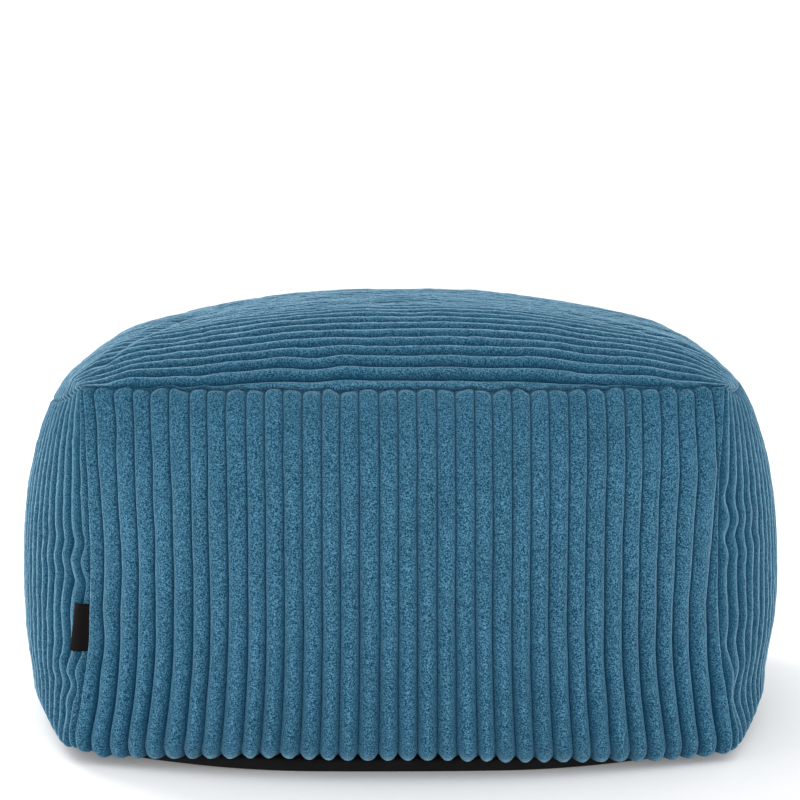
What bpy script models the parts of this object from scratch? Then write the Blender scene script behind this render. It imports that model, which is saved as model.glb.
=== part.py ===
"""Square corduroy footstool: a filled cover with raised wales, a base cloth and a bare side tag.

Metres, +Z up. The front faces -Y and the origin is on the floor under the middle.
"""

import bpy
import numpy as np

# Driving dimensions
SIDE_WALES = 35
TOP_WALES = 40
TOP_SEAM_Z = 0.277
DOME_HEIGHT = 0.054
WALE_DEPTH = 0.0035
SEAM_DEPTH = 0.0055
HEM_DEPTH = 0.00175
HEM_Z = 0.0098
UNDERSIDE_Z = 0.0090

# Half width and height of a side panel, up its middle from the bottom seam to the top seam
MIDDLE_PROFILE = (
    (0.2750, 0.0100),
    (0.2890, 0.0130),
    (0.2970, 0.0200),
    (0.3010, 0.0310),
    (0.3035, 0.0456),
    (0.3052, 0.0640),
    (0.3062, 0.0830),
    (0.3070, 0.1070),
    (0.3066, 0.1350),
    (0.3044, 0.1660),
    (0.3002, 0.1930),
    (0.2942, 0.2160),
    (0.2868, 0.2375),
    (0.2775, 0.2565),
    (0.2680, 0.2685),
    (0.2585, 0.2770),
)

# The same up a corner, where two side panels are sewn together
CORNER_PROFILE = (
    (0.2420, 0.0130),
    (0.2435, 0.0230),
    (0.2412, 0.0400),
    (0.2346, 0.0800),
    (0.2316, 0.1380),
    (0.2326, 0.2080),
    (0.2347, 0.2770),
)

# How far a panel's middle stands out beyond the straight line between its corners, as a power
BOW_POWER = 2.4

# Dome height of the top panel, from the middle (0) to the seam (1)
DOME_ACROSS = (
    (0.00, 1.000),
    (0.25, 0.955),
    (0.45, 0.855),
    (0.65, 0.695),
    (0.78, 0.570),
    (0.88, 0.410),
    (0.95, 0.205),
    (1.00, 0.000),
)
DOME_ALONG = (
    (0.00, 1.000),
    (0.30, 0.995),
    (0.50, 0.965),
    (0.62, 0.900),
    (0.72, 0.780),
    (0.82, 0.595),
    (0.90, 0.385),
    (0.96, 0.165),
    (1.00, 0.000),
)

# Base cloth, as rings from its top down: inset from the seam, height, and share of the corners' lift
BASE_RINGS = (
    (0.0030, 0.0084, 0.00),
    (0.0030, 0.0050, 0.42),
    (0.0045, 0.0020, 0.82),
    (0.0085, 0.0000, 1.00),
    (0.0600, 0.0000, 0.00),
)
BASE_POINTS = 120
BASE_CORNER_LIFT = 0.0065
LIFT_START = 0.3
LIFT_POWER = 1.9

# Tag. Its ends across the left panel run from 0 at the panel's middle to 1 at the front seam,
# and its gaps are from the smooth panel to its back, at those ends
TAG_LOW = 0.0815
TAG_HIGH = 0.1185
TAG_ENDS = (0.915, 0.994)
TAG_GAPS = (0.0010, 0.0016)
TAG_THICKNESS = 0.0014
TAG_ROWS = 5
TAG_COLUMNS = 7

# Rows of points up a side, as fractions from the bottom seam to the top seam
SIDE_ROWS = (0.0, 0.035, 0.13, 0.28, 0.45, 0.62, 0.80, 0.955, 1.0)

# Columns of points on the top panel, and how near to its side seams they come
TOP_COLUMNS = 16
TOP_REACH = 0.985

# The flat underside's outline: its size beside the hem's, and how many of the hem's points it skips
UNDERSIDE_SHARE = 0.93
UNDERSIDE_STEP = 7

# Where a wale's shoulders stand across it, from one groove (0) to the next (1)
SHOULDERS = (0.20, 0.80)

# The least upward share of the direction in which the top seam is drawn in
TOP_SEAM_PULL = 0.6

# Points along a curve that is measured before it is shared out by length
FINE = 801


def spline(knots, values, at):
    """A natural cubic spline through the knots, read at the points asked for."""
    knots = np.asarray(knots, float)
    values = np.asarray(values, float)
    count = len(knots)
    step = np.diff(knots)
    rise = np.diff(values) / step
    matrix = np.eye(count)
    right = np.zeros(count)
    for i in range(1, count - 1):
        matrix[i, i - 1 : i + 2] = step[i - 1], 2 * (step[i - 1] + step[i]), step[i]
        right[i] = 6 * (rise[i] - rise[i - 1])
    bend = np.linalg.solve(matrix, right)
    at = np.clip(at, knots[0], knots[-1])
    i = np.clip(np.searchsorted(knots, at) - 1, 0, count - 2)
    before = (knots[i + 1] - at) / step[i]
    after = (at - knots[i]) / step[i]
    curve = (before**3 - before) * bend[i] + (after**3 - after) * bend[i + 1]
    return before * values[i] + after * values[i + 1] + curve * step[i] ** 2 / 6


def profile(table, t):
    """Half width and height at the fraction t of the way up a profile, by length."""
    table = np.array(table)
    length = np.concatenate([[0], np.cumsum(np.hypot(*np.diff(table, axis=0).T))])
    length /= length[-1]
    return spline(length, table[:, 0], t), spline(length, table[:, 1], t)


def side_grid(s, t):
    """The front panel's smooth surface. s runs -1 to 1 across it by length, t 0 to 1 up it."""
    middle, middle_z = profile(MIDDLE_PROFILE, t)
    corner, corner_z = profile(CORNER_PROFILE, t)
    u = np.linspace(-1, 1, FINE)
    bow = 1 - np.abs(u) ** BOW_POWER
    points = np.empty((len(t), len(s), 3))
    for row in range(len(t)):
        x = corner[row] * u
        y = corner[row] + (middle[row] - corner[row]) * bow
        z = corner_z[row] + (middle_z[row] - corner_z[row]) * bow
        length = np.concatenate([[0], np.cumsum(np.hypot(np.diff(x), np.diff(y)))])
        at = (np.asarray(s) + 1) / 2 * length[-1]
        points[row, :, 0] = np.interp(at, length, x)
        points[row, :, 1] = -np.interp(at, length, y)
        points[row, :, 2] = np.interp(at, length, z)
    return points


def dome(across, along):
    height = spline(*zip(*DOME_ACROSS), np.abs(across)) * spline(*zip(*DOME_ALONG), np.abs(along))
    return TOP_SEAM_Z + DOME_HEIGHT * height


def top_grid(across, along):
    """The top panel's smooth surface, a row of points for each value of along."""
    corner = CORNER_PROFILE[-1][0]
    bow = MIDDLE_PROFILE[-1][0] - corner
    across, along = np.meshgrid(across, along)
    x = across * (corner + bow * (1 - np.abs(along) ** BOW_POWER))
    y = along * (corner + bow * (1 - np.abs(across) ** BOW_POWER))
    return np.stack([x, y, dome(across, along)], axis=-1)


def normals(points):
    """Unit normals of a grid of points, outward for a grid that runs right and then up or back."""
    across = np.gradient(points, axis=1)
    up = np.gradient(points, axis=0)
    normal = np.cross(across, up)
    return normal / np.linalg.norm(normal, axis=2, keepdims=True)


def turned(points, quarter):
    """Points turned about the upright axis by quarter turns, counterclockwise from above."""
    c, s = ((1, 0), (0, 1), (-1, 0), (0, -1))[quarter]
    x, y, z = points[..., 0], points[..., 1], points[..., 2]
    return np.stack([c * x - s * y, s * x + c * y, z], axis=-1)


def wale_steps(wales):
    """Three steps a wale, -1 to 1, of which the first is its groove, and one last groove."""
    steps = np.arange(wales)[:, None] + np.array([0.0, *SHOULDERS])
    return np.append(steps.ravel(), wales) / wales * 2 - 1


def top_rows():
    """Values of along at the top panel's wale steps, shared out by length down its middle."""
    line = np.linspace(-1, 1, FINE)
    middle = top_grid([0.0], line)[:, 0]
    length = np.concatenate([[0], np.cumsum(np.linalg.norm(np.diff(middle, axis=0), axis=1))])
    return np.interp((wale_steps(TOP_WALES) + 1) / 2 * length[-1], length, line)


def add_object(name, points, faces, material):
    mesh = bpy.data.meshes.new(name)
    mesh.from_pydata([tuple(map(float, point)) for point in points], [], faces)
    mesh.validate()
    mesh.materials.append(material)
    obj = bpy.data.objects.new(name, mesh)
    bpy.context.scene.collection.objects.link(obj)
    return obj


def add_material(name, colour, roughness):
    material = bpy.data.materials.new(name)
    material.use_nodes = True
    shader = material.node_tree.nodes["Principled BSDF"]
    shader.inputs["Base Color"].default_value = (*colour, 1)
    shader.inputs["Roughness"].default_value = roughness
    return material


def zip_loops(low, high, points):
    """Triangles between two closed loops of point numbers that run the same way round."""
    def angles(loop):
        around = np.unwrap([np.arctan2(points[i][1], points[i][0]) for i in loop])
        return list(around) + [around[0] + 2 * np.pi]

    low_angle = angles(low)
    start = int(np.argmin([abs(np.remainder(a - low_angle[0] + np.pi, 2 * np.pi) - np.pi)
                           for a in angles(high)[:-1]]))
    high = high[start:] + high[:start]
    high_angle = np.array(angles(high))
    high_angle += 2 * np.pi * np.round((low_angle[0] - high_angle[0]) / (2 * np.pi))
    faces = []
    i = j = 0
    while i < len(low) or j < len(high):
        a, b = low[i % len(low)], high[j % len(high)]
        if j >= len(high) or (i < len(low) and low_angle[i + 1] <= high_angle[j + 1]):
            faces.append((a, low[(i + 1) % len(low)], b))
            i += 1
        else:
            faces.append((a, high[(j + 1) % len(high)], b))
            j += 1
    return faces


# The filled cover
def side_band():
    """Points of all four side panels, row by row, with the wales raised and the seams drawn in."""
    s = wale_steps(SIDE_WALES)
    t = np.array(SIDE_ROWS)
    smooth = side_grid(s, t)
    normal = normals(smooth)
    relief = np.zeros((len(t), len(s)))
    relief[:, 0::3] = -WALE_DEPTH
    relief[:, 0] = relief[:, -1] = -SEAM_DEPTH
    relief[0] = -HEM_DEPTH
    relief[-1] = -SEAM_DEPTH
    # A corner's normal points between its two panels.
    normal[:, 0] = np.array([-1, -1, 0]) / np.sqrt(2)
    normal[:, -1] = np.array([1, -1, 0]) / np.sqrt(2)
    normal[0, :, 2] = 0
    normal[-1, :, 2] = np.maximum(normal[-1, :, 2], TOP_SEAM_PULL)
    panel = (smooth + relief[..., None] * normal)[:, :-1]
    panel[0, :, 2] = np.maximum(panel[0, :, 2], HEM_Z)
    return np.concatenate([turned(panel, quarter) for quarter in range(4)], axis=1)


def make_cover(material):
    band = side_band()
    rows, around = band.shape[:2]
    points = list(band.reshape(-1, 3))
    faces = []
    for row in range(rows - 1):
        for i in range(around):
            a, b = row * around + i, row * around + (i + 1) % around
            faces.append((a, b, b + around, a + around))

    # The top panel's wales run from left to right.
    along = top_rows()[1:-1]
    across = TOP_REACH * np.sin(np.linspace(-1, 1, TOP_COLUMNS + 1) * np.pi / 2)
    smooth = top_grid(across, along)
    relief = np.zeros(smooth.shape[:2])
    relief[2::3] = -WALE_DEPTH
    relief[:, 0] = relief[:, -1] = -WALE_DEPTH
    top = smooth + relief[..., None] * normals(smooth)
    first = len(points)
    points.extend(top.reshape(-1, 3))
    deep, wide = top.shape[:2]
    for row in range(deep - 1):
        for i in range(wide - 1):
            a = first + row * wide + i
            faces.append((a, a + 1, a + 1 + wide, a + wide))
    edge = [first + i for i in range(wide)]
    edge += [first + row * wide + wide - 1 for row in range(1, deep)]
    edge += [first + (deep - 1) * wide + i for i in range(wide - 2, -1, -1)]
    edge += [first + row * wide for row in range(deep - 2, 0, -1)]
    seam = [(rows - 1) * around + i for i in range(around)]
    faces += zip_loops(seam, edge, points)

    # The flat underside
    first = len(points)
    outline = UNDERSIDE_SHARE * band[0, ::UNDERSIDE_STEP]
    points.extend([(x, y, UNDERSIDE_Z) for x, y, _ in outline])
    inner = list(range(first, len(points)))
    faces += [face[::-1] for face in zip_loops(list(range(around)), inner, points)]
    faces.append(tuple(reversed(inner)))
    return add_object("cover", points, faces, material)


# The base cloth under it
def make_base(material):
    s = np.linspace(-1, 1, BASE_POINTS // 4 + 1)[:-1]
    bottom = side_grid(s, np.array([0.0]))[0]
    outline = np.concatenate([turned(bottom, quarter) for quarter in range(4)])[:, :2]
    away = outline / np.linalg.norm(outline, axis=1, keepdims=True)
    towards_corner = np.clip((np.abs(s) - LIFT_START) / (1 - LIFT_START), 0, 1)
    lift = np.tile(BASE_CORNER_LIFT * towards_corner**LIFT_POWER, 4)
    points = []
    faces = []
    for inset, z, share in BASE_RINGS:
        for (x, y), up in zip(outline - inset * away, lift):
            points.append((x, y, z + share * up))
    count = len(outline)
    for ring in range(len(BASE_RINGS) - 1):
        for i in range(count):
            a, b = ring * count + i, ring * count + (i + 1) % count
            faces.append((a, a + count, b + count, b))
    faces.append(tuple(range(count)))
    faces.append(tuple(range(len(points) - 1, len(points) - count - 1, -1)))
    return add_object("base_panel", points, faces, material)


# The tag, which lies on the left panel beside the front seam
def make_tag(material):
    fine = np.linspace(0, 1, FINE)
    _, heights = profile(MIDDLE_PROFILE, fine)
    t = np.interp(np.linspace(TAG_LOW, TAG_HIGH, TAG_ROWS), heights, fine)
    s = np.linspace(*TAG_ENDS, TAG_COLUMNS)
    smooth = side_grid(s, t)
    normal = normals(smooth)
    gap = np.linspace(*TAG_GAPS, TAG_COLUMNS)[None, :, None]
    inside = turned(smooth + gap * normal, 3)
    outside = turned(smooth + (gap + TAG_THICKNESS) * normal, 3)
    rows, wide = inside.shape[:2]
    points = list(inside.reshape(-1, 3)) + list(outside.reshape(-1, 3))
    half = rows * wide
    faces = []
    for row in range(rows - 1):
        for i in range(wide - 1):
            a = row * wide + i
            faces.append((a, a + wide, a + wide + 1, a + 1))
            a += half
            faces.append((a, a + 1, a + wide + 1, a + wide))
    edge = list(range(wide))
    edge += [row * wide + wide - 1 for row in range(1, rows)]
    edge += [(rows - 1) * wide + i for i in range(wide - 2, -1, -1)]
    edge += [row * wide for row in range(rows - 2, 0, -1)]
    for a, b in zip(edge, edge[1:] + edge[:1]):
        faces.append((a, b, b + half, a + half))
    return add_object("side_tag", points, faces, material)


for old in list(bpy.data.objects):
    bpy.data.objects.remove(old)
corduroy = add_material("corduroy", (0.055, 0.150, 0.245), 0.9)
base_cloth = add_material("base_cloth", (0.012, 0.011, 0.012), 0.95)
ribbon = add_material("ribbon", (0.020, 0.014, 0.014), 0.8)
make_cover(corduroy)
make_base(base_cloth)
make_tag(ribbon)
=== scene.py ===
"""A square corduroy footstool in a plain studio.

Metres, +Z up, the front faces -Y. Each panel of the cover is a mesh whose points follow its wales:
a smooth surface first, then the depth of each point between the wales' crests and their grooves.
Side panels are numbered by the quarter turns that take the front to them, counterclockwise.
"""

import itertools
import math

import bpy
import numpy as np
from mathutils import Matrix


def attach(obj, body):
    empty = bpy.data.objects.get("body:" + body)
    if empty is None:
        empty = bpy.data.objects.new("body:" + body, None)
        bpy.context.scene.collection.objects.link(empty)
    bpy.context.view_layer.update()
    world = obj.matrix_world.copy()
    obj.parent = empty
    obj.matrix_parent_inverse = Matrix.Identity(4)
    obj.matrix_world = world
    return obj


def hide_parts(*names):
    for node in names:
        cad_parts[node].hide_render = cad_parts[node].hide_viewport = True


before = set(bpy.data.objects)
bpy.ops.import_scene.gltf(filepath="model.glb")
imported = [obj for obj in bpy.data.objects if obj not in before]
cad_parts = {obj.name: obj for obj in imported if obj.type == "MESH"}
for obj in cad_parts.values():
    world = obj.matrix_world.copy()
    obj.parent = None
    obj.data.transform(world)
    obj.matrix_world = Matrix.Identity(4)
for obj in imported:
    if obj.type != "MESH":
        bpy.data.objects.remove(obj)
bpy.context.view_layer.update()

# Sizes shared with the solids. A profile is half width and height, and a dome is the share of the
# way out and of the height.
SIDE_WALES = 35
TOP_WALES = 40
TOP_SEAM_Z = 0.277
DOME_HEIGHT = 0.054
BOW_POWER = 2.4
MIDDLE_PROFILE = (
    (0.2750, 0.0100),
    (0.2890, 0.0130),
    (0.2970, 0.0200),
    (0.3010, 0.0310),
    (0.3035, 0.0456),
    (0.3052, 0.0640),
    (0.3062, 0.0830),
    (0.3070, 0.1070),
    (0.3066, 0.1350),
    (0.3044, 0.1660),
    (0.3002, 0.1930),
    (0.2942, 0.2160),
    (0.2868, 0.2375),
    (0.2775, 0.2565),
    (0.2680, 0.2685),
    (0.2585, 0.2770),
)
CORNER_PROFILE = (
    (0.2420, 0.0130),
    (0.2435, 0.0230),
    (0.2412, 0.0400),
    (0.2346, 0.0800),
    (0.2316, 0.1380),
    (0.2326, 0.2080),
    (0.2347, 0.2770),
)
DOME_ACROSS = (
    (0.00, 1.000),
    (0.25, 0.955),
    (0.45, 0.855),
    (0.65, 0.695),
    (0.78, 0.570),
    (0.88, 0.410),
    (0.95, 0.205),
    (1.00, 0.000),
)
DOME_ALONG = (
    (0.00, 1.000),
    (0.30, 0.995),
    (0.50, 0.965),
    (0.62, 0.900),
    (0.72, 0.780),
    (0.82, 0.595),
    (0.90, 0.385),
    (0.96, 0.165),
    (1.00, 0.000),
)
TOP_CORNER = CORNER_PROFILE[-1][0]
TOP_BOW = MIDDLE_PROFILE[-1][0] - TOP_CORNER

# The seams and the hem: how deep the cloth is drawn in there, and over what half width
SEAM_DEPTH = 0.0055
SIDE_SEAM_DEPTH = 0.0040
HEM_DEPTH = 0.0045
SEAM_HALF = 0.0045
CORNER_HALF = 0.010
HEM_HALF = 0.004

# How steeply a top seam is drawn in, from how far away, and how far the cloth goes on inside
SEAM_UP = 0.25
SEAM_REACH = 0.009
INSIDE = 0.005

# The wales: how uneven their widths are, in wales, and the width and blob size of their wander
WALE_JITTER = 0.05
WALE_WIDTH = 0.021
WALE_BLOB = 0.030
TOP_GROOVE_DEPTH = 0.0068

# A wale's cross section and the depth of the groove beside it, on the way up a side panel, as
# (share of the way, value): first for the front and back, then for the left and right
FLATNESS = (
    ((0, 2.2), (0.3, 2.3), (0.75, 3.4), (1, 4.2)),
    ((0, 2.2), (0.3, 2.3), (0.75, 2.4), (1, 2.6)),
)
GROOVE_DEPTH = (
    ((0, 0.0058), (0.3, 0.0055), (0.7, 0.0040), (1, 0.0034)),
    ((0, 0.0058), (0.3, 0.0058), (0.7, 0.0055), (1, 0.0050)),
)
SHOULDER = ((0, 0.85), (0.3, 0.80), (0.75, 0.70), (1, 0.70))
TOP_FLATNESS = 2.1
TOP_SHOULDER = 0.62

# A wale's round ends: how much further its edges are cut back than its middle, and the radius.
# Then how far the hem is drawn up between two wales, and over what height
UPPER_CUT = (0.0066, 0.0040)
UPPER_ROUND = (0.0046, 0.0040)
HEM_CUT = 0.0040
HEM_ROUND = 0.0050
HEM_RISE = (0.0030, 0.010)
EDGE_ROUND = 0.0042

# The same for the top panel's wales, at its left and right seams and at its front and back ones
TOP_SIDE_CUT = 0.0012
TOP_SIDE_ROUND = 0.0026
TOP_EDGE_ROUND = 0.0040

# Painted shade and highlight on the way up, as (share of the way, value): flank shade, crest
# highlight
PAINTED_FLANK_SHADE = ((0, 0.62), (0.12, 0.62), (0.24, 0.46), (0.35, 0.24), (0.46, 0.10), (0.67, 0.06))
PAINTED_CREST_HIGHLIGHT = ((0, 0.14), (0.12, 0.22), (0.24, 0.26), (0.46, 0.22), (0.67, 0.15), (0.90, 0.0))
LEFT_RIGHT_FLANK_SHADE = 0.80
TOP_FLANK_SHADE = 0.52
TOP_CREST_HIGHLIGHT = 0.20

# Painted shade at an edge: the share of the colour that is left there, and how far in that goes
HEM_SHADE = (0.25, 0.006)
FRONT_SEAM_SHADE = (0.25, 0.0035)
TOP_SEAM_SHADE = (0.3, 0.0035)

# Unevenness by smooth noise, as (height, blob size)
SIDE_FUZZ = ((0.00026, 0.0030), (0.00036, 0.009))
TOP_FUZZ = ((0.00026, 0.0030), (0.00044, 0.009))
SIDE_WAVES = (0.0006, 0.045)
TOP_WAVES = (0.0013, 0.034)
TOP_SEAM_WAVES = (0.0018, 0.022)
SIDE_JAG = (0.0010, 0.013)
TOP_JAG = (0.0011, 0.0085)
SEAM_LUMPS = (0.0015, 0.0080)
RIPPLE_DRIFT = (0.0045, 0.017)
RIPPLE_DEPTH = (0.5, 0.021)

# Swellings and hollows of a panel: the end they start from, height, amount, half height and reach
LEFT, RIGHT = -1, 1
FORMS = {
    0: (),
    1: ((LEFT, 0.042, -0.0064, 0.028, 0.40), (LEFT, 0.016, 0.0040, 0.012, 0.10)),
    2: ((LEFT, 0.050, 0.0030, 0.030, 0.15),),
    3: ((RIGHT, 0.040, -0.0022, 0.020, 0.40), (RIGHT, 0.012, 0.0050, 0.012, 0.10)),
}

# How far each hem hangs down: all along, then near its left and its right end, as the drop at
# the end itself and at the two places below, and where it stops
HEM_FADE = 0.045
HEM_PLACES = (0.022, 0.060)
HEMS = {
    0: (-0.0016, (0.0048, 0.0088, 0.0062, 0.15), (0.0088, 0.0096, 0.0092, 0.22)),
    1: (0.0, (0.0068, 0.0055, 0.0040, 0.10), (0.0000, 0.0015, 0.0030, 0.12)),
    2: (0.0, (0.0000, 0.0018, 0.0035, 0.12), (0.0000, 0.0015, 0.0030, 0.12)),
    3: (0.0, (0.0000, 0.0015, 0.0030, 0.12), (0.0024, 0.0034, 0.0028, 0.10)),
}

# How far the top seam has slid down the left and right side: amount, then the length in which
# that builds up from the front, and its power
SAG = {LEFT: (0.036, 0.090, 1.5), RIGHT: (0.014, 0.035, 1.2)}
SAG_FROM_BACK = 0.060
SAG_REACH = 0.055

# Ripples that the corner seams draw into each panel: its end, height, depth and half height
RIPPLE_REACH = 0.060
RIPPLES = {
    0: (
        (LEFT, 0.1600, -0.0006, 0.010),
        (LEFT, 0.1100, 0.0006, 0.014),
        (LEFT, 0.0500, -0.0008, 0.012),
        (RIGHT, 0.1650, 0.0006, 0.012),
        (RIGHT, 0.0900, -0.0005, 0.012),
    ),
    1: (
        (LEFT, 0.1925, -0.0022, 0.0100),
        (LEFT, 0.1800, 0.0010, 0.0070),
        (LEFT, 0.1640, -0.0030, 0.0080),
        (LEFT, 0.1500, 0.0024, 0.0090),
        (LEFT, 0.1050, 0.0010, 0.0130),
        (LEFT, 0.0870, -0.0020, 0.0080),
        (LEFT, 0.0640, 0.0020, 0.0110),
        (LEFT, 0.0400, -0.0012, 0.0090),
        (RIGHT, 0.2200, 0.0016, 0.012),
        (RIGHT, 0.1800, -0.0022, 0.010),
        (RIGHT, 0.1200, 0.0018, 0.012),
        (RIGHT, 0.0800, -0.0020, 0.010),
        (RIGHT, 0.0500, 0.0014, 0.010),
    ),
    2: (
        (LEFT, 0.2100, -0.0020, 0.011),
        (LEFT, 0.1700, 0.0020, 0.012),
        (LEFT, 0.1300, -0.0022, 0.010),
        (LEFT, 0.0700, 0.0018, 0.012),
        (RIGHT, 0.1900, 0.0016, 0.012),
        (RIGHT, 0.1500, -0.0022, 0.010),
        (RIGHT, 0.1100, 0.0018, 0.012),
        (RIGHT, 0.0600, -0.0016, 0.010),
    ),
    3: (
        (RIGHT, 0.1930, 0.0006, 0.0120),
        (RIGHT, 0.1600, -0.0026, 0.0075),
        (RIGHT, 0.1460, 0.0024, 0.0070),
        (RIGHT, 0.1335, -0.0026, 0.0075),
        (RIGHT, 0.1075, 0.0014, 0.0120),
        (RIGHT, 0.0830, -0.0022, 0.0080),
        (RIGHT, 0.0670, 0.0016, 0.0070),
        (RIGHT, 0.0545, -0.0018, 0.0065),
        (RIGHT, 0.0420, 0.0012, 0.0080),
        (LEFT, 0.2000, -0.0018, 0.010),
        (LEFT, 0.1500, 0.0020, 0.012),
        (LEFT, 0.0900, -0.0020, 0.011),
    ),
}

# Soft creases of the top panel, seen from above: the line's points, depth and half width
CREASES = (
    (((-0.223, -0.182), (-0.204, -0.134), (-0.188, -0.096), (-0.176, -0.030)), 0.0026, 0.0075),
    (((0.217, -0.150), (0.190, -0.134), (0.162, -0.110), (0.130, -0.080)), 0.0018, 0.0080),
    (((-0.150, 0.190), (-0.190, 0.140), (-0.205, 0.090)), 0.0020, 0.0080),
    (((0.120, 0.200), (0.175, 0.170), (0.208, 0.110)), 0.0020, 0.0080),
    (((-0.012, -0.090), (0.012, -0.082)), 0.0016, 0.0120),
)

# The base cloth in rings, from its upper edge round to its underside: inset from the bottom of the
# sides, height, and share of the rise at the corners
BASE_RINGS = (
    (0.0200, 0.0104, 0.15),
    (0.0045, 0.0100, 0.25),
    (0.0041, 0.0075, 0.30),
    (0.0045, 0.0050, 0.50),
    (0.0058, 0.0020, 0.82),
    (0.0070, 0.0008, 0.93),
    (0.0090, 0.0000, 1.00),
    (0.0300, 0.0000, 0.40),
    (0.0600, 0.0000, 0.00),
)
BASE_CORNER_RISE = 0.0092
BASE_CORNER_INSET = 0.006

# The tag: its width, lower and upper end, thickness, and its turn from straight back at both ends
TAG_WIDTH = 0.0114
TAG_Z = (0.0822, 0.1168)
TAG_THICKNESS = 0.0005
TAG_TURN = (60, 47)

# Colours
PILE_COLOURS = ((0.009, 0.048, 0.090, 1), (0.037, 0.127, 0.208, 1), (0.100, 0.275, 0.410, 1))
# Painted shade in the grooves
GROOVE_SHADE_COLOUR = (0.0060, 0.056, 0.112, 1)
# Painted sheen of pile seen side on
PAINTED_SHEEN_COLOUR = (0.430, 0.650, 0.790, 1)
SHEEN_COLOUR = (0.30, 0.70, 1.0, 1)
CLOTH_COLOURS = ((0.0045, 0.0042, 0.0045, 1), (0.0100, 0.0092, 0.0096, 1))
RIBBON_COLOURS = ((0.0035, 0.0026, 0.0027, 1), (0.0110, 0.0080, 0.0080, 1))
FLOOR_COLOUR = (0.93, 0.93, 0.93, 1)
WHITE = (1.0, 1.0, 1.0, 1)

# The studio: the world's strength, and each lamp's place, aim, size and power
WORLD_FRONT, WORLD_BACK = 1.0, 1.1
LAMPS = (
    ("key", (-0.2, -3.0, 0.6), (0, 0, 0.15), (1.0, 1.0), 16),
    ("rear_left", (-1.7, 2.2, 1.5), (0, 0, 0.2), (1.2, 1.2), 62),
    ("rear_right", (1.8, 2.4, 1.5), (0, 0, 0.2), (1.2, 1.2), 4),
    ("rear_high", (0.0, 2.8, 1.7), (0, 0, 0.25), (2.4, 0.8), 3),
)

# The camera that was matched to the outline. The angles are in degrees.
SENSOR_MM = 36
PICTURE_PIXELS = 800
FOCAL_PIXELS = 2284
CAMERA_PLACE = (-0.0263, -1.8813, 0.4334)
CAMERA_DOWN, CAMERA_TURN = 5.78, -0.8


# Curves, noise and grids of points
def spline(knots, values, at):
    """A natural cubic spline through the knots, read at the points asked for."""
    knots = np.asarray(knots, float)
    values = np.asarray(values, float)
    count = len(knots)
    step = np.diff(knots)
    rise = np.diff(values) / step
    matrix = np.eye(count)
    right = np.zeros(count)
    for i in range(1, count - 1):
        matrix[i, i - 1 : i + 2] = step[i - 1], 2 * (step[i - 1] + step[i]), step[i]
        right[i] = 6 * (rise[i] - rise[i - 1])
    bend = np.linalg.solve(matrix, right)
    at = np.clip(at, knots[0], knots[-1])
    i = np.clip(np.searchsorted(knots, at) - 1, 0, count - 2)
    before = (knots[i + 1] - at) / step[i]
    after = (at - knots[i]) / step[i]
    curve = (before**3 - before) * bend[i] + (after**3 - after) * bend[i + 1]
    return before * values[i] + after * values[i + 1] + curve * step[i] ** 2 / 6


def profile(table, t):
    """Half width and height at the fraction t of the way up a profile, by length."""
    table = np.array(table)
    length = np.concatenate([[0], np.cumsum(np.hypot(*np.diff(table, axis=0).T))])
    length /= length[-1]
    return spline(length, table[:, 0], t), spline(length, table[:, 1], t)


def way_up(table, t):
    """A table of (share of the way, value), read once for each row of a grid."""
    return np.interp(t, *zip(*table))[:, None]


def ease(x, low, high):
    """A smooth step from 0 at low to 1 at high."""
    x = np.clip((x - low) / (high - low), 0, 1)
    return x * x * (3 - 2 * x)


def bell(distance, half_width):
    """1 at no distance, 0.37 at the half width, and 0 soon after."""
    return np.exp(-((distance / half_width) ** 2))


def rounded(distance, radius):
    """A quarter circle's rise from 0 at the edge to 1 at the radius."""
    e = np.clip(distance / radius, 0, 1)
    return np.sqrt(1 - (1 - e) ** 2)


def blend(first, second, share):
    return first + (second - first) * share


def noise(points, size, seed):
    """Smooth noise from -1 to 1 at the points, in blobs about size across."""
    table = np.random.default_rng(seed).uniform(-1, 1, (31, 31, 31))
    at = points / size
    cell = np.floor(at).astype(int)
    part = at - cell
    part = part * part * (3 - 2 * part)
    total = np.zeros(points.shape[:-1])
    for corner in itertools.product((0, 1), repeat=3):
        weight = np.prod(np.where(corner, part, 1 - part), axis=-1)
        i, j, k = np.moveaxis((cell + corner) % 31, -1, 0)
        total += weight * table[i, j, k]
    return total


def uneven(points, layer, seed):
    """Smooth noise of the layer's height and blob size."""
    height, size = layer
    return height * noise(points, size, seed)


def fuzz(points, layers, seed):
    """The pile's uneven surface, in small and in large blobs."""
    return sum(uneven(points, layer, seed + i) for i, layer in enumerate(layers))


def edge_shade(distance, edge):
    """Painted shade at an edge: a rise from the edge's share to 1 at its reach."""
    share, reach = edge
    return share + (1 - share) * rounded(distance, reach)


def on_line(x, y=0.0):
    """Points for noise that changes along x alone, or another noise for each y."""
    return np.stack([x, 0 * x + y, 0 * x], axis=-1)


def unit(vectors):
    return vectors / np.maximum(np.linalg.norm(vectors, axis=-1, keepdims=True), 1e-12)


def grid_normals(points):
    return unit(np.cross(np.gradient(points, axis=1), np.gradient(points, axis=0)))


def turned(points, quarter):
    """Points turned about the upright axis by quarter turns, counterclockwise from above."""
    c, s = ((1, 0), (0, 1), (-1, 0), (0, -1))[quarter]
    x, y, z = points[..., 0], points[..., 1], points[..., 2]
    return np.stack([c * x - s * y, s * x + c * y, z], axis=-1)


def run(points, axis):
    """Distance walked along a grid of points from its first row or column."""
    steps = np.linalg.norm(np.diff(points, axis=axis), axis=2)
    pad = [(0, 0), (0, 0)]
    pad[axis] = (1, 0)
    return np.pad(np.cumsum(steps, axis=axis), pad)


def with_inside(points, out):
    """The grid with a column more at its left and right, where the cloth goes on past the seam."""
    first = points[:, :1] - INSIDE * out[:, :1]
    last = points[:, -1:] - INSIDE * out[:, -1:]
    return np.hstack([first, points, last])


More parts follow.
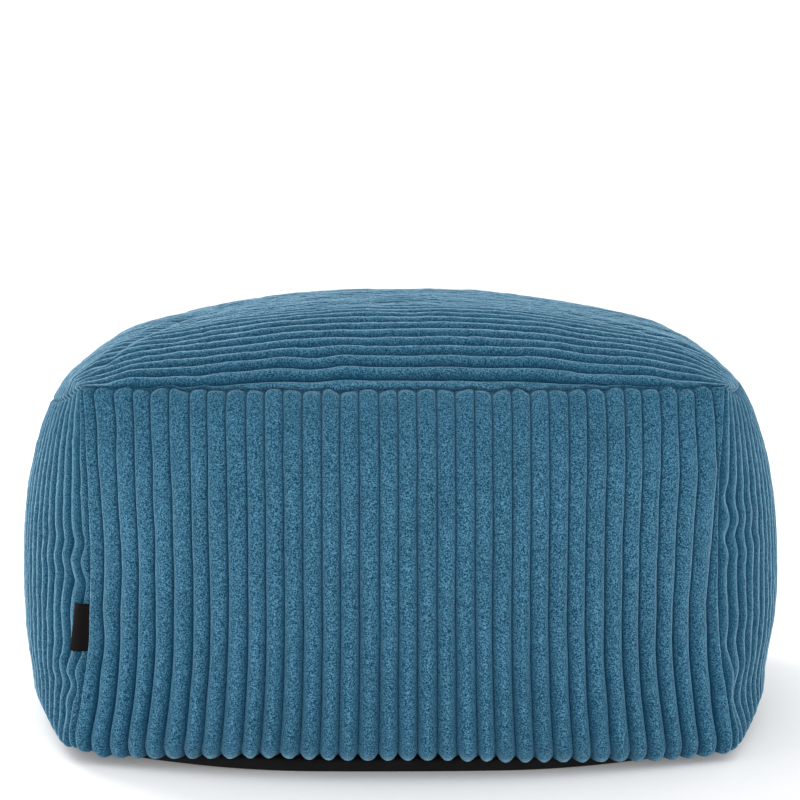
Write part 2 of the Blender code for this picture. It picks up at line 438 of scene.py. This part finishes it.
# The cover's smooth surface and its seams
def shell(u, t):
    """The front panel's smooth surface. u runs -1 to 1 across, t 0 to 1 upwards."""
    middle, middle_z = profile(MIDDLE_PROFILE, t)
    corner, corner_z = profile(CORNER_PROFILE, t)
    bow = 1 - np.abs(u) ** BOW_POWER
    forward = corner + (middle - corner) * bow
    return np.stack([corner * u, -forward, corner_z + (middle_z - corner_z) * bow], -1)


def top_surface(across, along):
    """The top panel's smooth surface."""
    x = across * (TOP_CORNER + TOP_BOW * (1 - np.abs(along) ** BOW_POWER))
    y = along * (TOP_CORNER + TOP_BOW * (1 - np.abs(across) ** BOW_POWER))
    height = spline(*zip(*DOME_ACROSS), np.abs(across)) * spline(*zip(*DOME_ALONG), np.abs(along))
    return np.stack([x, y, TOP_SEAM_Z + DOME_HEIGHT * height], axis=-1)


def seam_direction(u, up):
    """The way out from a seam of the front panel, u from -1 to 1 between its corners."""
    lean = TOP_BOW * BOW_POWER * np.abs(u) ** (BOW_POWER - 1) * np.sign(u) / TOP_CORNER
    x = lean + (np.sign(u) - lean) * ease(np.abs(u), 0.90, 1.0)
    return unit(np.stack([x, -np.ones_like(x), up * np.hypot(x, 1)], axis=-1))


def sag(y, side):
    """How far the top seam has slid down the left or right side, at y."""
    amount, length, power = SAG[side]
    front = 1 - np.exp(-((np.maximum(y + TOP_CORNER, 0) / length) ** power))
    back = 1 - np.exp(-np.maximum(TOP_CORNER - y, 0) / SAG_FROM_BACK)
    return amount * front * back


def seam_lumps(x, distance):
    """How far the front's top seam is pushed up or down at x, on both of its panels."""
    return uneven(on_line(x), SEAM_LUMPS, 97) * (1 - ease(distance, 0, 0.010))


def ripples(quarter, from_left, from_right, height):
    """How far the corner seams' ripples lift a side panel. They drift and fade from the seam."""
    total = np.zeros(height.shape)
    for end, at, depth, half in RIPPLES[quarter]:
        distance = from_left if end == LEFT else from_right
        reach = (0.35 + 0.65 * ease(distance, 0, 0.012)) * bell(distance, RIPPLE_REACH)
        drift = 0.05 * distance + uneven(on_line(distance, at), RIPPLE_DRIFT, 83)
        change = 1 + uneven(on_line(distance, at), RIPPLE_DEPTH, 89)
        total += depth * change * reach * bell(height - at + drift, half)
    return total


def creases(points):
    """How far the creases press the top panel in."""
    total = np.zeros(points.shape[:2])
    for line, depth, half_width in CREASES:
        nearest = np.full(points.shape[:2], np.inf)
        for start, end in itertools.pairwise(np.array(line)):
            step = end - start
            from_start = points[..., :2] - start
            share = np.clip((from_start @ step) / (step @ step), 0, 1)
            gap = np.linalg.norm(from_start - share[..., None] * step, axis=-1)
            nearest = np.minimum(nearest, gap)
        total += depth * bell(nearest, half_width)
    return total


# The side panels
def side_rows(count):
    """Fractions up a side, closer together at its two ends."""
    ends = 14
    low_end, high_start = 0.028, 0.966
    low = np.linspace(0, low_end, ends, endpoint=False)
    middle = np.linspace(low_end, high_start, count - 2 * ends, endpoint=False)
    return np.concatenate([low, middle, np.linspace(high_start, 1, ends)])


def wale_fractions(per_wale):
    """Places across a wale, closer together at its grooves."""
    return 0.5 - 0.5 * np.cos(np.pi * np.arange(per_wale) / per_wale)


def groove_places(t, seed, first, last):
    """s of each groove at each t. first and last are the end wales' widths in wales."""
    rng = np.random.default_rng(seed)
    first = np.interp(t, *first)[:, None]
    last = np.interp(t, *last)[:, None]
    full = SIDE_WALES - 2
    pitch = 2 / (full + first.mean() + last.mean())
    k = np.arange(full + 1)[None, :]
    jitter = WALE_JITTER * rng.uniform(-1, 1, full + 1)[None, :]
    place = first.mean() + k + jitter
    place = place + (first - first.mean()) * np.exp(-k / 2.5)
    place = place - (last - last.mean()) * np.exp(-(full - k) / 2.5)
    where = np.stack(np.broadcast_arrays(t[:, None] * 0.30, WALE_WIDTH * k, 0.0), axis=-1)
    ends = np.exp(-k / 3.0) + np.exp(-(full - k) / 3.0)
    place = place + (0.025 + 0.07 * ends) * noise(where, WALE_BLOB, seed + 1)
    edge = np.ones((len(t), 1))
    return np.hstack([-edge, -1 + pitch * place, edge]), pitch


def side_grid(grooves, pitch, per_wale):
    """s of each point, and its distance from its wale's middle, 0 to 1 at the groove."""
    rows = len(grooves)
    width = np.diff(grooves, axis=1)
    at = grooves[:, :-1, None] + width[:, :, None] * wale_fractions(per_wale)

    # The end wales are cut short by the seams.
    start = grooves[:, :-1].copy()
    full = width.copy()
    start[:, 0] = np.minimum(grooves[:, 1] - pitch, -1)
    full[:, 0] = grooves[:, 1] - start[:, 0]
    full[:, -1] = np.maximum(pitch, width[:, -1])
    q = np.abs(2 * ((at - start[:, :, None]) / full[:, :, None]).reshape(rows, -1) - 1)
    last_q = np.abs(2 * (1 - start[:, -1:]) / full[:, -1:] - 1)
    s = np.hstack([at.reshape(rows, -1), grooves[:, -1:]])
    return s, np.clip(np.hstack([q, last_q]), 0, 1)


def side_base(smooth, quarter):
    """A side panel's surface with its swellings, hem and sag, in the front panel's place.

    Also the distances from its lower, upper, left and right edge.
    """
    left = run(smooth, 1)
    right = left[:, -1:] - left
    for end, at, amount, half, reach in FORMS[quarter]:
        distance = left if end == LEFT else right
        window = ease(left, 0, 0.025) * ease(right, 0, 0.025) * bell(distance, reach)
        window = window * bell(smooth[..., 2] - at, half)
        smooth = smooth + (amount * window)[..., None] * grid_normals(smooth)
    low = run(smooth, 0)
    high = low[-1:] - low
    all_along, *ends = HEMS[quarter]
    hanging = 1 - ease(low, 0, HEM_FADE)
    smooth[..., 2] -= all_along * hanging
    for distance, (*drops, stop) in zip((left, right), ends):
        drop = np.interp(distance[0], (0, *HEM_PLACES, stop), (*drops, 0))
        smooth[..., 2] -= drop * hanging
    if quarter % 2:
        side = 2 - quarter
        slid = high + sag(side * smooth[-1:, :, 0], side) * bell(high, SAG_REACH)
        for column, axis in np.ndindex(smooth.shape[1:]):
            line = smooth[::-1, column, axis].copy()
            smooth[:, column, axis] = np.interp(slid[:, column], high[::-1, column], line)
    return smooth, low, high, left, right


def side_painted_light(ridge, q, t, low, high, from_front, left_or_right):
    """Painted shade and highlight of the pile, which the material takes for its colour."""
    # Painted shade in the grooves and on the flanks, and a painted highlight along the crest
    flank_shade = way_up(PAINTED_FLANK_SHADE, t)
    if left_or_right:
        flank_shade = np.maximum(flank_shade, LEFT_RIGHT_FLANK_SHADE)
    crest_highlight = way_up(PAINTED_CREST_HIGHLIGHT, t) * (bell(q, 0.22) - 0.3)
    painted_light = ease(ridge, 0, 0.7) * (1 - flank_shade * q**1.2) + crest_highlight
    # Painted shade at the hem and towards the top of the panel
    painted_light = painted_light * edge_shade(low, HEM_SHADE) * (1 - 0.14 * ease(t, 0.72, 0.95)[:, None])
    if left_or_right:
        # Painted shade: the left and right panels are darker towards the front, with less painted
        # sheen.
        return painted_light * (1 - 0.15 * (1 - ease(from_front, 0.04, 0.13)))
    # Painted shade along the top seam
    return painted_light * edge_shade(high, FRONT_SEAM_SHADE)


def side_panel(quarter, per_wale, row_count, first, last, seed):
    """Points and painted shade and highlight of a side panel."""
    left_or_right = quarter % 2
    t = side_rows(row_count)
    grooves, pitch = groove_places(t, seed, first, last)
    s, q = side_grid(grooves, pitch, per_wale)
    smooth, low, high, left, right = side_base(shell(s, t[:, None]), quarter)
    normal = grid_normals(smooth)
    side_edge = np.minimum(left, right)

    ridge = (1 - q ** way_up(FLATNESS[left_or_right], t)) ** way_up(SHOULDER, t)
    painted_light = side_painted_light(ridge, q, t, low, high, (left, right)[quarter // 2], left_or_right)

    # The wales' round ends
    back = 1 - np.sqrt(1 - q**2)
    jag = uneven(on_line(left, high), SIDE_JAG, seed + 2)
    from_top = high - UPPER_CUT[left_or_right] * back + jag * ease(high, 0, 0.004)
    ridge = ridge * rounded(from_top, UPPER_ROUND[left_or_right])
    ridge = ridge * rounded(low - HEM_CUT * back, HEM_ROUND) * rounded(side_edge, EDGE_ROUND)

    # The depth of the grooves, the seams and the hem
    top_depth = (SEAM_DEPTH, SIDE_SEAM_DEPTH)[left_or_right]
    top_depth = blend(top_depth, SEAM_DEPTH, bell(side_edge[-1:], CORNER_HALF))
    groove = way_up(GROOVE_DEPTH[left_or_right], t)
    groove = blend(groove, SEAM_DEPTH, bell(side_edge, SEAM_HALF))
    groove = blend(groove, top_depth, bell(high, SEAM_HALF))
    groove = blend(groove, HEM_DEPTH, bell(low, HEM_HALF))

    # The hem is drawn up between the wales, and the front's top seam runs unevenly.
    rise, reach = HEM_RISE
    smooth[..., 2] += rise * q**2.5 * bell(low, reach)
    if quarter == 0:
        smooth[..., 2] += seam_lumps(smooth[..., 0], high) * ease(side_edge, 0, 0.02)

    # At a seam the cloth is drawn straight in, the same way on both panels, and at the hem level.
    drawn = seam_direction(s, SEAM_UP * ease(t, 0.93, 1.0)[:, None])
    share = 1 - ease(np.minimum(high, side_edge), 0, SEAM_REACH)
    normal = unit(blend(normal, drawn, share[..., None]))
    normal[..., 2] *= ease(low, 0, 0.010)
    normal = unit(normal)

    wave = ripples(quarter, left, right, smooth[..., 2])
    wave = wave + uneven(smooth, SIDE_WAVES, seed + 5) * ease(side_edge, 0, 0.02)
    wave = wave * ease(high, 0, 0.02) * ease(low, 0, 0.02)
    lift = wave - groove * (1 - ridge) + fuzz(smooth, SIDE_FUZZ, seed + 3) * ridge
    points = smooth + lift[..., None] * normal

    # The cloth goes on inside past its seams, and under the hem.
    inward = unit(-smooth[:1] * (1, 1, 0))
    tuck = [points[:1] + step * inward + (0, 0, 0.1 * step) for step in (0.018, 0.009)]
    points = np.vstack([*tuck, points, points[-1:] - INSIDE * drawn[-1:]])
    points = with_inside(points, np.vstack([drawn[:1], drawn[:1], drawn, drawn[-1:]]))
    return turned(points, quarter), np.pad(painted_light, ((2, 1), (1, 1)), mode="edge")


# The top panel
def top_grid(per_wale, columns, seed):
    """Each point's place across and along, from its wale's middle and from the nearest cut seam."""
    rng = np.random.default_rng(seed)
    line = np.linspace(-1, 1, columns)
    across = 0.80 * line + 0.20 * np.sin(line * np.pi / 2)
    fine = np.linspace(0, 1, 401)
    length = run(top_surface(*np.meshgrid(across, fine)), 0)
    reach = length[-1]
    half = run(top_surface(np.zeros((401, 1)), fine[:, None]), 0)[-1, 0]
    pitch = 2 * half / TOP_WALES

    # Grooves are straight in the cloth, so the bowed front and back seams cut the outer wales.
    k = np.arange(TOP_WALES + 1)[:, None]
    jitter = WALE_JITTER * rng.uniform(-1, 1, (TOP_WALES + 1, 1))
    where = np.stack(np.broadcast_arrays(0.262 * across[None, :], WALE_WIDTH * k, 0.0), axis=-1)
    groove = (k - TOP_WALES / 2 + jitter + 0.06 * noise(where, WALE_BLOB, seed + 1)) * pitch
    groove = groove * (1 - 0.6 * (1 - reach / half))
    groove[0], groove[-1] = -half - 0.2 * pitch, half + 0.2 * pitch
    placed = np.clip(groove, -reach, reach)
    fraction = wale_fractions(per_wale)[None, :, None]
    at = placed[:-1, None] + np.diff(placed, axis=0)[:, None] * fraction
    q = (at - groove[:-1, None]) / np.diff(groove, axis=0)[:, None]
    at = np.vstack([at.reshape(-1, columns), placed[-1:]])
    q = np.vstack([q.reshape(-1, columns), np.ones((1, columns))])
    along = np.empty_like(at)
    for i in range(columns):
        along[:, i] = np.sign(at[:, i]) * np.interp(np.abs(at[:, i]), length[:, i], fine)
    across = across[None, :] + 0 * along
    return across, along, np.clip(np.abs(2 * q - 1), 0, 1), reach[None, :] - np.abs(at)


def slide_down(smooth):
    """Moves the top panel down the left and right sides, as far as its seams have slid."""
    below = np.linspace(0.84, 1, 17)
    for side, order in ((LEFT, slice(None)), (RIGHT, slice(None, None, -1))):
        for row in smooth:
            old = row[order].copy()
            edge_y = old[0, 1]
            wall = turned(shell(side * edge_y / TOP_CORNER + 0 * below, below), 2 - side)
            path = np.vstack([wall[:-1], old])
            length = np.cumsum(np.linalg.norm(np.diff(path, axis=0), axis=1))
            length = np.concatenate([[0], length])
            length -= length[16]
            slid = length[16:] - sag(edge_y, side) * bell(length[16:], SAG_REACH)
            for axis in range(3):
                row[order, axis] = np.interp(slid, length, path[:, axis])


def top_panel(per_wale, columns, seed):
    """Points and painted shade and highlight of the top panel."""
    across, along, q, from_seam = top_grid(per_wale, columns, seed)
    smooth = top_surface(across, along)
    left = run(smooth, 1)
    from_side = np.minimum(left, left[:, -1:] - left)
    slide_down(smooth)
    normal = grid_normals(smooth)
    lumps = seam_lumps(smooth[..., 0], from_seam) * ease(from_side, 0, 0.02)
    smooth[..., 2] += np.where(along < 0, lumps, 0)

    ridge = (1 - q**TOP_FLATNESS) ** TOP_SHOULDER
    # Painted shade in the grooves and on the flanks, and a painted highlight along the crest
    crest_highlight = TOP_CREST_HIGHLIGHT * (bell(q, 0.20) - 0.22)
    painted_light = ease(ridge, 0, 0.7) * (1 - TOP_FLANK_SHADE * ease(q, 0.12, 0.80)) + crest_highlight
    # Painted shade at the front and back seams, and over the top behind its front part
    painted_light = painted_light * edge_shade(from_seam, TOP_SEAM_SHADE) * (1 - 0.10 * ease(along, -0.6, -0.1))

    # The wales' ends at the left and right seams, and the cut wales at the front and back ones
    back = 1 - np.sqrt(1 - q**2)
    ridge = ridge * rounded(from_side - TOP_SIDE_CUT * back, TOP_SIDE_ROUND)
    jag = uneven(on_line(smooth[..., 0]), TOP_JAG, seed + 6)
    ridge = ridge * rounded(from_seam + jag * ease(from_seam, 0, 0.004), TOP_EDGE_ROUND)
    side_depth = blend(SIDE_SEAM_DEPTH, SEAM_DEPTH, bell(from_seam, CORNER_HALF))
    groove = blend(TOP_GROOVE_DEPTH, SEAM_DEPTH, bell(from_seam, SEAM_HALF))
    groove = blend(groove, side_depth, bell(from_side, SEAM_HALF))

    # At a seam the cloth is drawn straight in.
    ones = np.ones_like(along)
    towards_back = np.sign(along + 1e-9)
    towards_right = np.sign(across + 1e-9)
    front = seam_direction(across, SEAM_UP) * np.stack([ones, -towards_back, ones], -1)
    sides = turned(seam_direction(along * towards_right, SEAM_UP), 1)
    sides = sides * np.stack([towards_right, towards_right, ones], -1)
    near_front = (1 - ease(from_seam, 0, SEAM_REACH))[..., None]
    near_side = (1 - ease(from_side, 0, SEAM_REACH))[..., None]
    free = normal * (1 - near_front) * (1 - near_side)
    normal = unit(free + front * near_front + sides * near_side)

    # Short waves along the front and back seams, long soft ones all over, and the creases
    wave = uneven(on_line(smooth[..., 0], 0.3 * smooth[..., 1]), TOP_SEAM_WAVES, seed + 2)
    wave = wave * bell(from_seam, 0.050)
    wave = wave + uneven(smooth, TOP_WAVES, seed + 3) - creases(smooth)
    wave = wave * ease(from_seam, 0, 0.014) * ease(from_side, 0, 0.02)
    lift = wave - groove * (1 - ridge) + fuzz(smooth, TOP_FUZZ, seed + 4) * ridge
    points = smooth + lift[..., None] * normal

    points = np.vstack([points[:1] - INSIDE * front[:1], points, points[-1:] - INSIDE * front[-1:]])
    points = with_inside(points, np.vstack([sides[:1], sides, sides[-1:]]))
    return points, np.pad(painted_light, 1, mode="edge")


# The base cloth and the tag
def base_mesh():
    """A closed, flat mesh that follows the bottom of the sides and rises at the corners."""
    s = np.linspace(-1, 1, 121)[:-1]
    bottom = shell(s, 0.0)
    outline = np.concatenate([turned(bottom, quarter) for quarter in range(4)])[:, :2]
    away = outline / np.linalg.norm(outline, axis=1, keepdims=True)
    corner = np.tile(np.clip((np.abs(s) - 0.3) / 0.7, 0, 1) ** 1.9, 4)
    rings = []
    for inset, z, share in BASE_RINGS:
        inset = inset + BASE_CORNER_INSET * corner * (inset < 0.02)
        height = z + BASE_CORNER_RISE * share * corner
        rings.append(np.column_stack([outline - inset[:, None] * away, height]))
    count = len(outline)
    verts = np.concatenate(rings)
    faces = [tuple(range(count)), tuple(range(len(verts) - 1, len(verts) - count - 1, -1))]
    for ring, i in itertools.product(range(len(rings) - 1), range(count)):
        a, b = ring * count + i, ring * count + (i + 1) % count
        faces.append((a, a + count, b + count, b))
    mesh = bpy.data.meshes.new("base_cloth")
    mesh.from_pydata(verts.tolist(), [], faces)
    mesh.shade_smooth()
    return mesh


def tag_points():
    """A ribbon folded in two, its ends in the corner seam. It stands off the panel."""
    z = np.linspace(*TAG_Z, 15)
    corner_x = spline([z for _, z in CORNER_PROFILE], [x for x, _ in CORNER_PROFILE], z)[:, None]
    turn = np.radians(np.linspace(*TAG_TURN, 15))[:, None]
    fold = np.linspace(0, np.pi, 7)[1:-1]
    there = np.linspace(-0.25, 1, 14)
    reach = np.concatenate([there, 1 + 0.02 * np.sin(fold), there[::-1]])
    gap = 0.0006 * np.clip(reach / 0.3, 0.35, 1)
    gap = gap * np.concatenate([-np.ones(14), -np.cos(fold), np.ones(14)])
    stand_off = 0.0014 * np.sin(np.pi * np.clip(reach, 0, 1))
    stand_off = stand_off + 0.0022 * np.clip(reach, -0.25, 0.25) / 0.25 - 0.0008
    out = gap + stand_off
    x = -corner_x - TAG_WIDTH * reach * np.sin(turn) - out * np.cos(turn)
    y = -corner_x + TAG_WIDTH * reach * np.cos(turn) - out * np.sin(turn)
    return np.stack([x, y, z[:, None] + 0 * x], axis=-1)


def grid_object(name, points, painted_light, material):
    rows, columns = points.shape[:2]
    first = (np.arange(rows - 1)[:, None] * columns + np.arange(columns - 1)[None, :]).ravel()
    quads = np.stack([first, first + 1, first + 1 + columns, first + columns], axis=1)
    mesh = bpy.data.meshes.new(name)
    mesh.vertices.add(rows * columns)
    mesh.vertices.foreach_set("co", points.astype(np.float32).ravel())
    mesh.loops.add(quads.size)
    mesh.loops.foreach_set("vertex_index", quads.astype(np.int32).ravel())
    mesh.polygons.add(len(quads))
    mesh.polygons.foreach_set("loop_start", np.arange(0, quads.size, 4, dtype=np.int32))
    mesh.update(calc_edges=True)
    mesh.validate()
    mesh.shade_smooth()
    # The painted shade and highlight, for the material
    height = mesh.attributes.new("painted_shade_and_highlight", "FLOAT", "POINT")
    height.data.foreach_set("value", painted_light.astype(np.float32).ravel())
    mesh.materials.append(material)
    return linked(bpy.data.objects.new(name, mesh))


def linked(obj):
    bpy.context.scene.collection.objects.link(obj)
    return obj


# Materials
class Nodes:
    """A material's node tree, with a short way to add a node and link its inputs."""

    def __init__(self, name):
        self.material = bpy.data.materials.new(name)
        self.material.use_nodes = True
        self.tree = self.material.node_tree
        self.shader = self.tree.nodes["Principled BSDF"]

    def add(self, kind, values=None, **settings):
        node = self.tree.nodes.new("ShaderNode" + kind)
        for key, value in settings.items():
            setattr(node, key, value)
        for key, value in (values or {}).items():
            self.put(value, node.inputs[key])
        return node

    def put(self, value, socket):
        if isinstance(value, bpy.types.NodeSocket):
            self.tree.links.new(value, socket)
        else:
            socket.default_value = value

    def set(self, **values):
        for key, value in values.items():
            self.put(value, self.shader.inputs[key.replace("_", " ")])

    def place(self):
        return self.add("TexCoord").outputs["Object"]

    def noise(self, place, scale, detail, distortion=0.0):
        values = {"Vector": place, "Scale": scale, "Detail": detail, "Distortion": distortion}
        return self.add("TexNoise", values).outputs["Fac"]

    def math(self, operation, *values, clamp=False):
        values = dict(enumerate(values))
        return self.add("Math", values, operation=operation, use_clamp=clamp).outputs[0]

    def remap(self, value, low, high, to_low=0.0, to_high=1.0, **settings):
        values = {0: value, 1: low, 2: high, 3: to_low, 4: to_high}
        return self.add("MapRange", values, **settings).outputs[0]

    def ramp(self, value, *stops):
        """A colour ramp. Each stop is its position and colour."""
        node = self.add("ValToRGB", {"Fac": value})
        elements = node.color_ramp.elements
        for element, (position, colour) in zip(list(elements), (stops[0], stops[-1])):
            element.position = position
            element.color = colour
        for position, colour in stops[1:-1]:
            elements.new(position).color = colour
        return node.outputs["Color"]

    def mix(self, factor, first, second, **settings):
        values = {"Factor": factor, 6: first, 7: second}
        return self.add("Mix", values, data_type="RGBA", **settings).outputs[2]

    def bump(self, height, strength, distance):
        values = {"Height": height, "Strength": strength, "Distance": distance}
        return self.add("Bump", values).outputs[0]


def corduroy_material():
    n = Nodes("corduroy_pile")
    place = n.place()
    # The painted shade and highlight, from the mesh
    height = n.add("Attribute", attribute_name="painted_shade_and_highlight").outputs["Fac"]
    tufts = n.noise(place, 1050.0, 1.0, distortion=0.6)
    fibres = n.noise(place, 1500.0, 1.0)
    brushed = n.noise(place, 26.0, 2.0)
    speck = n.remap(tufts, 0.38, 0.62)
    tint = n.ramp(speck, *zip((0.0, 0.5, 1.0), PILE_COLOURS))
    soft = n.remap(brushed, 0.3, 0.7, 0.93, 1.07)
    lit = n.add("VectorMath", {0: tint, "Scale": soft}, operation="SCALE").outputs[0]
    # Painted shade: the colour goes to the groove shade colour where the painted shading is low
    colour = n.mix(height, GROOVE_SHADE_COLOUR, lit, clamp_factor=False)

    # Painted sheen: pile seen side on is turned a pale colour, but not where the painted groove
    # shade is.
    rough = n.bump(tufts, 1.0, 0.0004)
    side_on = n.add("LayerWeight", {"Blend": 0.5, "Normal": rough}).outputs["Facing"]
    side_on = n.remap(side_on, 0.49, 0.98, interpolation_type="SMOOTHSTEP")
    painted_sheen = n.math("MULTIPLY", side_on, n.math("POWER", height, 2.0))
    spread = n.math("MULTIPLY_ADD", speck, 0.50, 0.60)
    painted_sheen = n.math("MULTIPLY", painted_sheen, spread, clamp=True)
    colour = n.mix(painted_sheen, colour, PAINTED_SHEEN_COLOUR)

    relief = n.math("MULTIPLY_ADD", fibres, 0.4, tufts)
    n.set(Base_Color=colour, Roughness=0.95, Normal=n.bump(relief, 1.0, 0.0013))
    n.set(Specular_IOR_Level=0.0)
    n.set(Sheen_Weight=0.50, Sheen_Roughness=0.30, Sheen_Tint=SHEEN_COLOUR)
    return n.material


def cloth_material():
    n = Nodes("base_weave")
    place = n.place()
    weave = n.noise(place, 900.0, 2.0)
    blotch = n.noise(place, 40.0, 2.0)
    tint = n.ramp(n.math("MULTIPLY", weave, blotch), *zip((0.12, 0.45), CLOTH_COLOURS))
    n.set(Base_Color=tint, Roughness=0.9, Normal=n.bump(weave, 0.5, 0.0004))
    n.set(Specular_IOR_Level=0.2)
    return n.material


def ribbon_material():
    n = Nodes("tag_ribbon")
    place = n.place()
    values = {"Vector": place, "Scale": 700.0, "Distortion": 1.0}
    rib = n.add("TexWave", values, bands_direction="Z").outputs["Fac"]
    woven = n.math("MULTIPLY", rib, n.noise(place, 1400.0, 1.0))
    tint = n.ramp(woven, *zip((0.0, 1.0), RIBBON_COLOURS))
    n.set(Base_Color=tint, Roughness=0.75, Normal=n.bump(woven, 0.6, 0.0003))
    n.set(Specular_IOR_Level=0.08)
    return n.material


def floor_material():
    n = Nodes("studio_floor")
    n.set(Base_Color=FLOOR_COLOUR, Roughness=0.9, Specular_IOR_Level=0.1)
    n.set(Emission_Color=WHITE, Emission_Strength=0.16)
    return n.material


# The cover: each side panel's points per wale, rows, first and last wale's width on the way up as
# (shares of the way), (widths in wales), and seed
corduroy = corduroy_material()
FULL_WIDTH = ((0, 1), (1.0, 1.0))
front_first = ((0, 0.5, 1), (0.92, 0.80, 0.72))
front_last = ((0, 0.25, 0.45, 0.55, 0.77, 0.90, 1), (1.0, 0.85, 0.60, 0.50, 0.15, 0.50, 0.84))
plan = (
    ("cover_front", 0, 10, 278, front_first, front_last, 11),
    ("cover_right", 1, 8, 250, FULL_WIDTH, ((0, 1), (0.6, 0.7)), 23),
    ("cover_back", 2, 8, 250, ((0, 1), (0.8, 0.6)), FULL_WIDTH, 37),
    ("cover_left", 3, 8, 250, FULL_WIDTH, ((0, 0.5, 1), (0.85, 0.70, 0.75)), 53),
)
covers = [grid_object(name, *side_panel(*how), corduroy) for name, *how in plan]
covers.append(grid_object("cover_top", *top_panel(per_wale=10, columns=246, seed=71), corduroy))
for panel in covers:
    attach(panel, "root")
    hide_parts("cover")

base = linked(bpy.data.objects.new("base_cloth", base_mesh()))
base.data.materials.append(cloth_material())
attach(base, "root")
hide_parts("base_panel")

points = tag_points()
tag = grid_object("side_ribbon", points, np.ones(points.shape[:2]), ribbon_material())
thick = tag.modifiers.new("thickness", "SOLIDIFY")
thick.thickness = TAG_THICKNESS
thick.offset = 0.0
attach(tag, "root")
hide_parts("side_tag")


# The studio: a white floor and a white world, which is a little brighter at the back
def white_world():
    world = bpy.data.worlds.new("studio")
    world.use_nodes = True
    nodes, links = world.node_tree.nodes, world.node_tree.links
    direction = nodes.new("ShaderNodeTexCoord")
    split = nodes.new("ShaderNodeSeparateXYZ")
    level = nodes.new("ShaderNodeMapRange")
    links.new(direction.outputs["Generated"], split.inputs[0])
    links.new(split.outputs["Y"], level.inputs["Value"])
    level.inputs["From Min"].default_value = 0.0
    level.inputs["From Max"].default_value = 0.9
    level.inputs["To Min"].default_value = WORLD_FRONT
    level.inputs["To Max"].default_value = WORLD_BACK
    links.new(level.outputs[0], nodes["Background"].inputs["Strength"])
    nodes["Background"].inputs["Color"].default_value = WHITE
    return world


def lamp(name, place, aim, size, power):
    data = bpy.data.lights.new(name, "AREA")
    data.shape = "RECTANGLE"
    data.size, data.size_y = size
    data.energy = power
    obj = linked(bpy.data.objects.new(name, data))
    obj.location = place
    x, y, z = np.array(aim, float) - np.array(place, float)
    obj.rotation_euler = (math.atan2(math.hypot(x, y), -z), 0, math.atan2(-x, y))


bpy.ops.mesh.primitive_circle_add(
    vertices=128, radius=9.0, fill_type="NGON", location=(0, 0, -0.0002)
)
floor = bpy.context.object
floor.name = "studio_floor"
floor.data.materials.append(floor_material())

bpy.context.scene.world = white_world()
for each in LAMPS:
    lamp(*each)

camera = linked(bpy.data.objects.new("camera", bpy.data.cameras.new("camera")))
camera.data.sensor_width = SENSOR_MM
camera.data.lens = FOCAL_PIXELS / PICTURE_PIXELS * SENSOR_MM
camera.location = CAMERA_PLACE
camera.rotation_euler = (math.radians(90 - CAMERA_DOWN), 0, math.radians(CAMERA_TURN))
bpy.context.scene.camera = camera
bpy.context.scene.view_settings.view_transform = "Standard"
